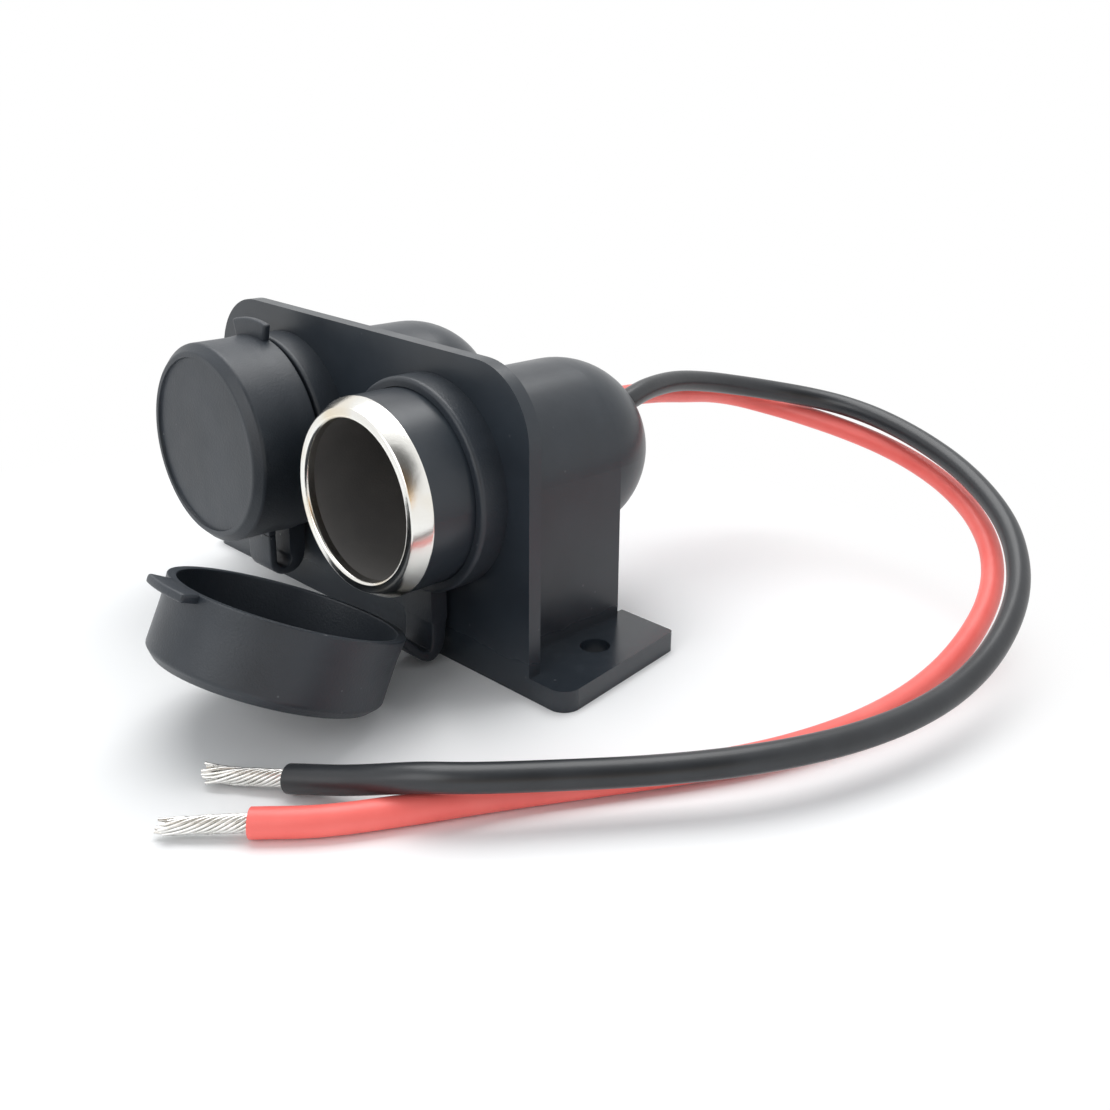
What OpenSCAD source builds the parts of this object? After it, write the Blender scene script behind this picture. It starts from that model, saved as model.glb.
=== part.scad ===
// Twin 12 V accessory socket in a moulded surface-mount housing, with capped sockets and two bare leads.
// The sockets face -Y and stand side by side along X. +Z is up.
// The origin is midway between the two foot screw holes, on the plane that the feet stand on.

/* [Sockets] */
// Inside diameter of a socket's metal sleeve
bore_d = 21.4; // [20.9:0.1:22.4]
// Wall of the metal sleeve
sleeve_wall = 0.5; // [0.3:0.1:0.8]
// How far a sleeve runs back behind the plate's front face
sleeve_back = 17; // [14:0.5:18]
// Length of the sleeve's rolled lip, ahead of the barrel
lip_len = 2.5; // [1.8:0.1:3]
// Distance between the two socket axes
socket_spacing = 34.5; // [34:0.5:38]
// Height of the socket axes above the mounting plane
axis_h = 25.8; // [24.8:0.2:27]
// Thickness of the insulating disc at the back of a sleeve
disc_t = 2; // [1.5:0.1:2.5]
// Diameter of the centre contact's rivet
rivet_d = 3.8; // [3:0.1:4.4]

/* [Housing] */
// Width of the front plate
plate_w = 72; // [70:0.5:80]
// Height of the front plate
plate_h = 44; // [43:0.5:50]
// Thickness of the front plate
plate_t = 2; // [1.6:0.1:2.6]
// Radius of the plate's two upper corners
plate_corner_r = 10; // [6:0.5:12]
// How far the barrels stand ahead of the plate
barrel_len = 10.6; // [9.6:0.1:12]
// Wall of the barrels and of the hoods behind them
hood_wall = 2.05; // [1.8:0.05:2.2]
// Depth of the hollow body, from the plate's front face
body_depth = 22.4; // [21.6:0.2:26]
// Height of the floor of the valley between the hoods
valley_h = 20; // [17:0.5:22]
// Wall of the valley, of its two ribs and of the body's rear
body_wall = 1.8; // [1.6:0.1:2]
// Diameter of the cable outlet at the back of the right hood
outlet_d = 8; // [7.6:0.1:8.6]
// Height of the cable outlet above the socket axis
outlet_rise = 4.6; // [4:0.1:5]

/* [Feet] */
// How far a foot's front edge stands out past the plate's side edge
foot_reach = 6.6; // [6:0.1:10]
// How much narrower a foot is at its rear
foot_taper = 2.8; // [0:0.2:4]
// Depth of a foot, from the plate's front face
foot_depth = 24.4; // [20:0.2:26]
// Thickness of a foot
foot_t = 3; // [2.6:0.1:4]
// Radius of a foot's front outer corner
foot_corner_r = 2.4; // [1:0.2:4]
// Radius of a foot's rear outer corner
foot_rear_r = 0.8; // [0.4:0.1:3]
// Diameter of the foot screw holes
screw_d = 4.2; // [3.6:0.1:4.6]
// Distance of the screw holes behind the plate's front face
screw_setback = 13; // [11:0.5:15]

/* [Caps] */
// Wall of a cap's skirt
cap_wall = 0.9; // [0.7:0.1:1.2]
// Thickness of a cap's front
cap_front_t = 1.4; // [1.1:0.1:1.8]
// Clearance between a cap's skirt and the barrel
cap_play = 0.45; // [0.4:0.05:0.6]
// Length of the bevel round a cap's front
cap_bevel = 1.2; // [0.8:0.1:1.5]
// Depth of the round recess in a cap's front
recess_depth = 0.4; // [0.2:0.1:0.6]
// Width of the finger tab
finger_w = 7.6; // [6:0.2:11]
// How far the finger tab stands out from the skirt
finger_reach = 2.7; // [1.5:0.1:3]
// Angle by which the finger tab sits off the cap's top
finger_turn = 2.6; // [0:0.2:5]
// Thickness of the finger tab
finger_t = 1.1; // [0.8:0.1:1.6]
// Angle through which a cap swings open, or less where it meets the mounting plane first
open_angle = 65; // [50:1:65]

/* [Straps] */
// Length of the collar that holds a strap on its barrel
collar_len = 4.1; // [3.6:0.1:4.4]
// Wall of the collar
collar_wall = 1.3; // [1:0.1:1.5]
// Width of a strap
strap_w = 6; // [5:0.5:7]
// Thickness of a strap at its cap
strap_t = 1.2; // [0.9:0.1:1.4]
// Thickness of the tab that hangs from the collar, and of the strap's leg below it
tab_t = 2.6; // [2:0.1:3]

/* [Leads] */
// Outside diameter of the two leads
lead_d = 3.4; // [3:0.1:3.6]
// Diameter of the tinned strands at their bare ends
strand_d = 2.4; // [2:0.1:2.6]
// Outside diameter of the links between the two sockets
link_d = 2.6; // [2.2:0.1:2.8]

/* [Hidden] */
$fn = 96;
eps = 0.01;

// Clearances
sleeve_play = 0.05;
collar_play = 0.1;
rivet_play = 0.05;
cap_gap = 0.7;
lip_gap = 0.2;

// Sockets and hoods
side_x = socket_spacing / 2;
sleeve_in_r = bore_d / 2;
sleeve_out_r = sleeve_in_r + sleeve_wall;
barrel_in_r = sleeve_out_r + sleeve_play;
hood_r = barrel_in_r + hood_wall;
wall_x = side_x + hood_r;
lip_tip_r = sleeve_in_r + 1;
lip_curl_r = 0.55;
lip_edge = 0.3;
seat_r = sleeve_in_r + sleeve_wall / 2;

// Feet
foot_x = plate_w / 2 + foot_reach;
screw_wall_gap = 4.7;
screw_x = wall_x + screw_wall_gap;

// Room for the links through the two ribs
notch_lead = 3.4;
notch_front = sleeve_back - notch_lead;
notch_h = 9.5;

// Contacts
rivet_r = rivet_d / 2;
rivet_head_r = rivet_r + 1.3;
rivet_head_t = 1;
tab_blade_t = 0.8;
tab_blade_w = 4.8;
live_plate_r = rivet_head_r + 1.1;
live_blade_back = 9;
live_blade_rise = rivet_head_r + 0.2;
live_stub_len = sleeve_in_r - live_plate_r - 0.4;
earth_saddle_len = 5;
earth_setback = 3;
earth_back = sleeve_back - earth_setback;
earth_drop = 8.5;

// Caps and straps
cap_in_r = hood_r + cap_play;
cap_r = cap_in_r + cap_wall;
cap_mouth = collar_len + cap_gap;
cap_inner_front = barrel_len + lip_len + lip_gap;
cap_front = cap_inner_front + cap_front_t;
recess_r = cap_r - 1.9;
pad_drop = 0.8;
collar_in_r = hood_r + collar_play;
collar_r = collar_in_r + collar_wall;
tab_back = 0.8;
tab_mid = -(tab_back + tab_t / 2);
tab_drop = 4.5;
tab_foot = axis_h - collar_r - tab_drop;
front_leg = -(cap_mouth + 0.8 + strap_t / 2);
pad_foot = axis_h - cap_r - pad_drop;
hinge_y = -(cap_mouth + 0.3);
hinge_drop = 19.68;
hinge_z = axis_h - hinge_drop;

// The open cap's angle: the full swing, or the angle at which its front edge rests on the mounting plane
rest_gap = 0.05;
edge_reach = cap_front + hinge_y;
edge_rise = hinge_drop - cap_r + cap_bevel;
rest_sine = min(1, (hinge_z - rest_gap) / norm([edge_reach, edge_rise]));
swing = min(open_angle, asin(rest_sine) + atan2(edge_rise, edge_reach));

// Centre line of a strap's side view when its cap is shut: down from the tab, round and up to the cap
bend_steps = 16;
shut_bend_r = (tab_mid - front_leg) / 2;
shut_bend_z = tab_foot - 0.3;
shut_line = concat(
    [[tab_mid, tab_foot]],
    [for (i = [0 : bend_steps])
        let (a = 180 * i / bend_steps)
        [tab_mid - shut_bend_r + shut_bend_r * cos(a), shut_bend_z - shut_bend_r * sin(a)]],
    [[front_leg, pad_foot]]);

// The same when the cap is open: the strap sags below the tab and rises to the cap's pad
open_sag = 10;
open_lead = 1;
strap_lead = 0.3;
pad_y = front_leg - hinge_y;
pad_z = pad_foot - hinge_z;
pad_turn = [sin(swing), -cos(swing)];
pad_end = [hinge_y + pad_y * cos(swing) - pad_z * sin(swing), hinge_z + pad_y * sin(swing) + pad_z * cos(swing)];
sag_start = [tab_mid, tab_foot - strap_lead];
sag_end = pad_end + strap_lead * pad_turn;
open_line = concat(
    [[tab_mid, tab_foot]],
    [for (i = [0 : bend_steps])
        bent(sag_start, sag_start - [0, open_sag], sag_end + open_lead * pad_turn, sag_end, i / bend_steps)],
    [pad_end]);

// Inner face of the body's rear wall, which the leads and links run along
back_y = body_depth - body_wall - screw_setback;

// Routes of the leads, from the terminals to the ends of their insulation
black_route = [
    [17.3, 1, 7], [17.3, 3.6, 7], [20.2, back_y - 2, 9.2], [22.4, back_y - 1.8, 13.8], [22.8, back_y - 1.8, 18.5],
    [22.4, back_y + 0.9, 23], [20.8, back_y + 6, 27.2], [18.9, back_y + 12, 30], [18.8, back_y + 15, 30.8],
    [17.8, 28.8, 31.6], [16.6, 36.8, 31.2], [16.6, 44.5, 29.9], [18.1, 51.4, 28.4], [21.4, 57.3, 27.1],
    [26.1, 62, 26], [31.5, 64.6, 25.1], [38.2, 65.2, 24.1], [46.2, 64.1, 22.7], [54.3, 61.8, 20.9],
    [61.6, 58.3, 18.9], [67.9, 53.9, 16.7], [72.8, 48.6, 14.4], [76.6, 42.2, 12], [79.1, 34.8, 9.8],
    [80.4, 26.8, 7.8], [80.6, 18.5, 6.5], [79.7, 10, 5.9], [77.6, 1.5, 5.7], [74.5, -6.7, 5.8],
    [70.3, -14.3, 5.8], [64.7, -21.7, 5.6], [58.4, -29.5, 5.7], [52.8, -36.2, 5.9], [47.8, -40.2, 5.5],
    [40, -43.7, 3.3], [33.2, -46.8, 1.9]];
red_route = [
    [17.2, 13.05, 29.6], [17.2, 15, 29.6], [15.2, back_y + 12, 30.1], [15, back_y + 15, 30.2], [14, 28, 29.8],
    [13.3, 35.4, 28.9], [13, 42.8, 27.6], [12.8, 50, 26.3], [14, 55.5, 25], [17.3, 59.2, 23.8],
    [23.4, 62, 22.6], [31.2, 64.4, 21.1], [38.8, 65.5, 19.6], [46, 65.2, 18], [52.9, 63.5, 16.2],
    [59.2, 60.4, 14.2], [64.5, 56.1, 12], [68.5, 50.8, 9.8], [71.3, 44.5, 7.6], [73, 37.1, 5.5],
    [73.8, 28.9, 3.7], [73.8, 20.4, 2.6], [72.8, 11.8, 2], [70.9, 3.4, 1.8], [68.1, -4.8, 1.8],
    [64.1, -12.8, 1.8], [58.8, -21.8, 1.8], [52.7, -31.9, 1.8], [47.3, -41.4, 1.8], [42.7, -48.7, 1.8],
    [37.6, -54.3, 1.8]];
black_strands_route = [[32.9, -47, 1.9], [29, -49.8, 1.6], [25, -52.7, 1.4]];
red_strands_route = [[37.4, -54.5, 1.8], [34, -57.9, 1.6], [30.6, -61.3, 1.4]];
link_fall = 15;
link_step = 0.3;
link_end = 2.1;
link_black_top = axis_h - link_fall;
link_black_route = [
    [-17.3, 1, link_black_top - link_step], [-17.3, 2.4, link_black_top - link_step], [-14.6, 3.2, 9],
    [-11, 3, 7.4], [11, 3, 7.4], [14.6, 3.2, 9], [17.3, 2.4, link_black_top], [17.3, 1, link_black_top]];
link_red_route = [
    [-17.3, back_y - link_end, 15.7], [-16.4, back_y - 1.8, 12.5], [-13, back_y - 1.8, 8], [-9, back_y - 1.8, 4.2],
    [0, back_y - 1.9, 3.4], [9, back_y - 1.8, 4.2], [13, back_y - 1.8, 8], [16.4, back_y - 1.8, 12.5],
    [17.3, back_y - link_end, 15.7]];

// Extrudes an outline drawn in X and Z from y0 to y1
module upright(y0, y1) {
    translate([0, y1, 0])
        rotate([90, 0, 0])
            linear_extrude(height = y1 - y0)
                children();
}

// Extrudes an outline drawn in Y and Z by a width centred on x = 0
module sideways(w) {
    translate([-w / 2, 0, 0])
        rotate([90, 0, 90])
            linear_extrude(height = w)
                children();
}

// Turns a profile, drawn as radius and distance ahead of the plate, round a socket's axis
module turned() {
    rotate([90, 0, 0])
        rotate_extrude()
            children();
}

// Puts a piece drawn round a socket's own axis in its place; side is -1 for left and 1 for right
module at_socket(side) {
    translate([side * side_x, -screw_setback, axis_h])
        children();
}

// A point i's direction along a route
function heading(p, i) =
    let (d = p[min(i + 1, len(p) - 1)] - p[max(i - 1, 0)])
    d / norm(d);

// A point at t, from 0 to 1, on the curve from a to d whose ends point at b and c
function bent(a, b, c, d, t) =
    pow(1 - t, 3) * a + 3 * t * pow(1 - t, 2) * b + 3 * t * t * (1 - t) * c + pow(t, 3) * d;

// The part of v that lies square to the direction t, at unit length
function square_to(v, t) =
    let (s = v - (v * t) * t)
    s / norm(s);

// One side direction per route point, carried along without twist
function side_dirs(p) = [
    for (i = 0, n = square_to([0.3, 0.2, 1], heading(p, 0));
         i < len(p);
         i = i + 1, n = square_to(n, heading(p, min(i, len(p) - 1))))
        n];

// A round tube of diameter d swept along route p
module tube(p, d, sides = 8) {
    n = side_dirs(p);
    rings = [
        for (i = [0 : len(p) - 1])
            let (t = heading(p, i), b = cross(t, n[i]))
            for (k = [0 : sides - 1])
                p[i] + d / 2 * (cos(360 * k / sides) * n[i] + sin(360 * k / sides) * b)];
    skin = [
        for (i = [0 : len(p) - 2], k = [0 : sides - 1])
            let (a = i * sides + k, b = i * sides + (k + 1) % sides)
            [a, a + sides, b + sides, b]];
    first_cap = [for (k = [0 : sides - 1]) k];
    last_cap = [for (k = [sides - 1 : -1 : 0]) (len(p) - 1) * sides + k];
    polyhedron(points = rings, faces = concat(skin, [first_cap, last_cap]), convexity = 8);
}

module plate_outline() {
    translate([-plate_w / 2, 0])
        square([plate_w, plate_h - plate_corner_r]);
    translate([-plate_w / 2 + plate_corner_r, 0])
        square([plate_w - 2 * plate_corner_r, plate_h]);
    for (s = [-1, 1])
        translate([s * (plate_w / 2 - plate_corner_r), plate_h - plate_corner_r])
            circle(r = plate_corner_r);
}

// Outline of the walls under the two hoods and of the low block between them
module body_outline() {
    for (s = [-1, 1])
        translate([s * side_x - hood_r, 0])
            square([2 * hood_r, axis_h]);
    translate([-side_x, 0])
        square([2 * side_x, valley_h]);
}

// Half section of a round tube with a domed rear end, from radius 0
module domed_profile(r, front) {
    translate([0, -body_depth])
        square([r, body_depth + front]);
    intersection() {
        translate([0, -body_depth])
            circle(r = r);
        translate([0, -body_depth - r])
            square([r, r + 1]);
    }
}

// A foot's outline: its front is flush with the plate and its outer edge tapers towards the rear
module foot_outline() {
    root = wall_x - 1;
    front_r = foot_corner_r;
    rear_x = foot_x - foot_taper;
    edge_turn = atan(foot_taper / foot_depth);
    edge = [cos(edge_turn), sin(edge_turn)];
    translate([root, 0])
        square([foot_x - front_r - root, foot_depth / 2]);
    translate([root, foot_depth / 2])
        square([rear_x - foot_rear_r - root, foot_depth / 2]);
    translate([foot_x - front_r, front_r])
        circle(r = front_r);
    translate([rear_x - foot_rear_r, foot_depth - foot_rear_r])
        circle(r = foot_rear_r);
    polygon([
        [root, front_r], [foot_x - front_r, front_r], [foot_x - front_r, front_r] + front_r * edge,
        [rear_x - foot_rear_r, foot_depth - foot_rear_r] + foot_rear_r * edge,
        [rear_x - foot_rear_r, foot_depth - foot_rear_r], [root, foot_depth - foot_rear_r]]);
}

// The arched hollow of one hood, open below
module hood_hollow() {
    upright(plate_t, body_depth - body_wall)
        translate([-barrel_in_r, -1])
            square([2 * barrel_in_r, axis_h + 1]);
    translate([0, 0, axis_h])
        turned()
            domed_profile(barrel_in_r, barrel_len + 1);
}

module housing_solid() {
    upright(0, plate_t)
        plate_outline();
    upright(0, body_depth)
        body_outline();
    for (s = [-1, 1])
        translate([s * side_x, 0, axis_h])
            turned()
                domed_profile(hood_r, barrel_len);
    linear_extrude(height = foot_t) {
        foot_outline();
        mirror([1, 0])
            foot_outline();
    }
}

module housing() {
    rib_x = side_x - barrel_in_r;
    core_x = rib_x - body_wall;
    core_depth = body_depth - body_wall - plate_t;
    notch_depth = body_depth - body_wall - notch_front;
    color([0.17, 0.18, 0.19])
        translate([0, -screw_setback, 0])
            difference() {
                housing_solid();
                for (s = [-1, 1]) {
                    translate([s * side_x, 0, 0])
                        hood_hollow();
                    translate([s * screw_x, screw_setback, -1])
                        cylinder(d = screw_d, h = foot_t + 2);
                }
                translate([-core_x, plate_t, -1])
                    cube([2 * core_x, core_depth, valley_h - body_wall + 1]);
                translate([-rib_x - 1, notch_front, -1])
                    cube([2 * rib_x + 2, notch_depth, notch_h + 1]);
                translate([side_x - 0.3, body_depth, axis_h + outlet_rise])
                    rotate([-90, 0, 0])
                        cylinder(d = outlet_d, h = hood_r + 1);
            }
}

// Plated sleeve: a thin tube whose front is rolled out into a cone that sits on the barrel
module sleeve(side) {
    tip = barrel_len + lip_len;
    color([0.78, 0.76, 0.72])
        at_socket(side)
            turned() {
                polygon([
                    [seat_r, -sleeve_back], [sleeve_out_r, -sleeve_back],
                    [sleeve_out_r, barrel_len], [hood_r, barrel_len],
                    [hood_r, barrel_len + lip_edge], [lip_tip_r + lip_curl_r * cos(20), tip - lip_curl_r],
                    [sleeve_in_r, tip - lip_curl_r],
                    [sleeve_in_r, disc_t - sleeve_back], [seat_r, disc_t - sleeve_back]]);
                translate([sleeve_in_r + lip_curl_r, tip - lip_curl_r]) {
                    circle(r = lip_curl_r);
                    square([lip_tip_r - sleeve_in_r - lip_curl_r, lip_curl_r]);
                }
                translate([lip_tip_r, tip - lip_curl_r])
                    circle(r = lip_curl_r);
            }
}

// Insulating disc that closes the sleeve and carries the centre contact
module insulator(side) {
    color([0.55, 0.4, 0.25])
        at_socket(side)
            turned()
                translate([rivet_r + rivet_play, -sleeve_back])
                    square([seat_r - rivet_r - rivet_play, disc_t]);
}

// Centre contact: a rivet with a domed head inside the socket
module contact(side) {
    head_front = -sleeve_back + disc_t;
    tail = -sleeve_back - tab_blade_t;
    color([0.8, 0.66, 0.4])
        at_socket(side)
            turned() {
                translate([0, tail - rivet_head_t])
                    square([rivet_head_r, rivet_head_t]);
                translate([0, tail - eps])
                    square([rivet_r, disc_t + tab_blade_t + 2 * eps]);
                intersection() {
                    translate([0, head_front - rivet_head_r])
                        circle(r = rivet_head_r * sqrt(2));
                    translate([0, head_front])
                        square([rivet_head_r, rivet_head_r]);
                }
            }
}

// Live terminal: a washer under the rivet's tail, with a blade to the rear and a short stub below
module live_tab(side) {
    front = sleeve_back;
    color([0.8, 0.78, 0.74])
        at_socket(side)
            difference() {
                union() {
                    translate([0, front + tab_blade_t, 0])
                        rotate([90, 0, 0])
                            cylinder(r = live_plate_r, h = tab_blade_t);
                    translate([-tab_blade_w / 2, front, live_blade_rise])
                        cube([tab_blade_w, live_blade_back, tab_blade_t]);
                    translate([-tab_blade_w / 2, front, 0.6 - live_plate_r - live_stub_len])
                        cube([tab_blade_w, tab_blade_t, live_stub_len]);
                }
                translate([0, front + tab_blade_t + 1, 0])
                    rotate([90, 0, 0])
                        cylinder(r = rivet_r + rivet_play, h = tab_blade_t + 2);
            }
}

// Earth terminal: a saddle on the underside of the sleeve with a blade that hangs from it
module earth_tab(side) {
    seat = sleeve_out_r + sleeve_play;
    saddle_r = seat + tab_blade_t;
    color([0.8, 0.78, 0.74])
        at_socket(side) {
            rotate([90, 0, 0])
                rotate([0, 0, 258])
                    translate([0, 0, -earth_back])
                        rotate_extrude(angle = 24)
                            translate([seat, 0])
                                square([tab_blade_t, earth_saddle_len]);
            translate([-tab_blade_w / 2, earth_back - tab_blade_t, -saddle_r - earth_drop + 0.3])
                cube([tab_blade_w, tab_blade_t, earth_drop]);
        }
}

// Collar pushed over the barrel, with the tab that its strap hangs from
module collar(side) {
    edge = 0.6;
    color([0.16, 0.17, 0.18])
        at_socket(side) {
            turned()
                difference() {
                    translate([collar_in_r, 0])
                        square([collar_wall, collar_len]);
                    translate([collar_r - edge, collar_len - edge])
                        difference() {
                            square(edge + 1);
                            circle(r = edge);
                        }
                }
            difference() {
                translate([-strap_w / 2, -tab_back - tab_t, tab_foot - axis_h])
                    cube([strap_w, tab_t, tab_drop + 1.5]);
                rotate([90, 0, 0])
                    cylinder(r = collar_in_r + 0.3, h = collar_len + 1);
            }
        }
}

// Side view of a strap along its centre line: thick below the tab and thin at the cap
module strap_outline(line) {
    n = len(line) - 1;
    thin_from = 0.5;
    sides = [
        for (i = [0 : n])
            let (d = heading(line, i), t = tab_t + (strap_t - tab_t) * min(1, i / n / thin_from))
            t / 2 * [-d[1], d[0]]];
    polygon(concat(
        [for (i = [0 : n]) line[i] + sides[i]],
        [for (i = [n : -1 : 0]) line[i] - sides[i]]));
}

module strap_left() {
    color([0.16, 0.17, 0.18])
        translate([-side_x, -screw_setback, 0])
            sideways(strap_w)
                strap_outline(shut_line);
}

module strap_right() {
    color([0.16, 0.17, 0.18])
        translate([side_x, -screw_setback, 0])
            sideways(strap_w)
                strap_outline(open_line);
}

// A shut cap, drawn round its socket's axis
module cap_shut() {
    tab_angle = finger_w / cap_r * 180 / PI;
    turned()
        polygon([
            [0, cap_inner_front], [cap_in_r, cap_inner_front], [cap_in_r, cap_mouth],
            [cap_r + 0.25, cap_mouth], [cap_r + 0.25, cap_mouth + 1.1], [cap_r, cap_mouth + 1.4],
            [cap_r, cap_front - cap_bevel], [cap_r - cap_bevel, cap_front],
            [recess_r, cap_front], [recess_r - 0.2, cap_front - recess_depth],
            [0, cap_front - recess_depth]]);
    rotate([90, 0, 0])
        rotate([0, 0, 90 - tab_angle / 2 + finger_turn])
            translate([0, 0, cap_mouth])
                rotate_extrude(angle = tab_angle)
                    translate([cap_r - 0.3, 0])
                        square([finger_reach + 0.3, finger_t]);
    translate([-strap_w / 2, front_leg - strap_t / 2, -cap_r - pad_drop])
        cube([strap_w, strap_t, pad_drop + 0.5]);
}

module cap_left() {
    color([0.2, 0.21, 0.22])
        at_socket(-1)
            cap_shut();
}

module cap_right() {
    color([0.2, 0.21, 0.22])
        translate([0, -screw_setback + hinge_y, hinge_z])
            rotate([swing, 0, 0])
                translate([side_x, -hinge_y, axis_h - hinge_z])
                    cap_shut();
}

module lead_black() {
    color([0.15, 0.16, 0.17])
        tube(black_route, lead_d);
}

module lead_red() {
    color([0.9, 0.25, 0.25])
        tube(red_route, lead_d);
}

module strands_black() {
    color([0.8, 0.8, 0.78])
        tube(black_strands_route, strand_d);
}

module strands_red() {
    color([0.8, 0.8, 0.78])
        tube(red_strands_route, strand_d);
}

module link_black() {
    color([0.15, 0.16, 0.17])
        tube(link_black_route, link_d);
}

module link_red() {
    color([0.9, 0.25, 0.25])
        tube(link_red_route, link_d);
}

housing();
sleeve(-1);  // sleeve_left
sleeve(1);  // sleeve_right
insulator(-1);  // insulator_left
insulator(1);  // insulator_right
contact(-1);  // contact_left
contact(1);  // contact_right
live_tab(-1);  // live_tab_left
live_tab(1);  // live_tab_right
earth_tab(-1);  // earth_tab_left
earth_tab(1);  // earth_tab_right
collar(-1);  // collar_left
collar(1);  // collar_right
strap_left();
strap_right();
cap_left();
cap_right();
lead_black();
lead_red();
strands_black();
strands_red();
link_black();
link_red();
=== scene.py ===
"""Twin 12 V accessory socket: materials, modelled pieces, leads, camera and light.

Metres, in the part's own frame. Names for sizes hold millimetres and are turned into metres by MM.
"""
import math
import random

import bmesh
import bpy
from mathutils import Matrix, Vector


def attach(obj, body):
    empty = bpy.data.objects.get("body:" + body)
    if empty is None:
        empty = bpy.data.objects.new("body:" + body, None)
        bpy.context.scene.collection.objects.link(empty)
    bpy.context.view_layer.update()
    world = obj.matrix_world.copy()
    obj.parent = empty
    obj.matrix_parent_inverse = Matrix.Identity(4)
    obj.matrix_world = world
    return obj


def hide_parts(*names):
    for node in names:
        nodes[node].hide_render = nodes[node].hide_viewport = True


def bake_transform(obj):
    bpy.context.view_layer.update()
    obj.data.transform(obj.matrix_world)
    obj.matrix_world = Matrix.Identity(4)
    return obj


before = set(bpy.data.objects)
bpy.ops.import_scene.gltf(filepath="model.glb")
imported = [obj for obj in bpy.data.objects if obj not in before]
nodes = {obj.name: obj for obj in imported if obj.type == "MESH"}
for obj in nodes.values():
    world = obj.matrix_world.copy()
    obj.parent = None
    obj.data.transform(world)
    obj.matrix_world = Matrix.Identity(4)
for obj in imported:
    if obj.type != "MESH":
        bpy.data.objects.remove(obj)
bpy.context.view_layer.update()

MM = 0.001

# Driving sizes, in millimetres, as in the part's source
BORE_D = 21.4
SLEEVE_WALL = 0.5
SLEEVE_BACK = 17.0
LIP_LEN = 2.5
SIDE_X = 17.25
AXIS_H = 25.8
PLATE_Y = -13.0
BARREL_LEN = 10.6
HOOD_R = 13.3
CAP_R = 14.65
CAP_IN_R = 13.75
CAP_MOUTH = 4.8
CAP_INNER_FRONT = 13.3
CAP_FRONT = 14.7
CAP_BEVEL = 1.2
RECESS_R = 12.75
RECESS_DEPTH = 0.4
FINGER_W = 7.6
FINGER_REACH = 2.7
FINGER_TURN = 2.6
FINGER_T = 1.1
OPEN_ANGLE = 65.0
HINGE_Y = -5.1
HINGE_Z = 6.12
STRAP_W = 6.0
STRAP_T = 1.2
TAB_T = 2.6
TAB_BACK = 0.8
TAB_FOOT = AXIS_H - 14.7 - 4.5
OPEN_SAG = 10.0
LEAD_D = 3.4
FOOT_T = 3.0

# Routes of the leads, in millimetres, as in the part's source
BLACK_ROUTE = [
    (17.3, 1, 7), (17.3, 3.6, 7), (20.2, 5.6, 9.2), (22.4, 5.8, 13.8), (22.8, 5.8, 18.5), (22.4, 8.5, 23),
    (20.8, 13.6, 27.2), (18.9, 19.6, 30), (18.8, 22.6, 30.8), (17.8, 28.8, 31.6), (16.6, 36.8, 31.2),
    (16.6, 44.5, 29.9), (18.1, 51.4, 28.4), (21.4, 57.3, 27.1), (26.1, 62, 26), (31.5, 64.6, 25.1),
    (38.2, 65.2, 24.1), (46.2, 64.1, 22.7), (54.3, 61.8, 20.9), (61.6, 58.3, 18.9), (67.9, 53.9, 16.7),
    (72.8, 48.6, 14.4), (76.6, 42.2, 12), (79.1, 34.8, 9.8), (80.4, 26.8, 7.8), (80.6, 18.5, 6.5),
    (79.7, 10, 5.9), (77.6, 1.5, 5.7), (74.5, -6.7, 5.8), (70.3, -14.3, 5.8), (64.7, -21.7, 5.6),
    (58.4, -29.5, 5.7), (52.8, -36.2, 5.9), (47.8, -40.2, 5.5), (40, -43.7, 3.3), (33.2, -46.8, 1.9)]
RED_ROUTE = [
    (17.2, 13.05, 29.6), (17.2, 15, 29.6), (15.2, 19.6, 30.1), (15, 22.6, 30.2), (14, 28, 29.8),
    (13.3, 35.4, 28.9), (13, 42.8, 27.6), (12.8, 50, 26.3), (14, 55.5, 25), (17.3, 59.2, 23.8),
    (23.4, 62, 22.6), (31.2, 64.4, 21.1), (38.8, 65.5, 19.6), (46, 65.2, 18), (52.9, 63.5, 16.2),
    (59.2, 60.4, 14.2), (64.5, 56.1, 12), (68.5, 50.8, 9.8), (71.3, 44.5, 7.6), (73, 37.1, 5.5),
    (73.8, 28.9, 3.7), (73.8, 20.4, 2.6), (72.8, 11.8, 2), (70.9, 3.4, 1.8), (68.1, -4.8, 1.8),
    (64.1, -12.8, 1.8), (58.8, -21.8, 1.8), (52.7, -31.9, 1.8), (47.3, -41.4, 1.8), (42.7, -48.7, 1.8),
    (37.6, -54.3, 1.8)]
BLACK_STRANDS = [(32.9, -47, 1.9), (29, -49.8, 1.6), (25, -52.7, 1.4)]
RED_STRANDS = [(37.4, -54.5, 1.8), (34, -57.9, 1.6), (30.6, -61.3, 1.4)]

# The camera, from a fit of the part's outline to the photograph
CAM_AZIMUTH = 40.95
CAM_ELEVATION = 16.94
CAM_ROLL = 2.078
CAM_DISTANCE = 150.63
CAM_TARGET = (49.93, -3.0, 35.90)
IMAGE_SIZE = 1110
FOCAL_PX = 1237.2
CENTRE_PX = (668.07, 446.2)


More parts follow.
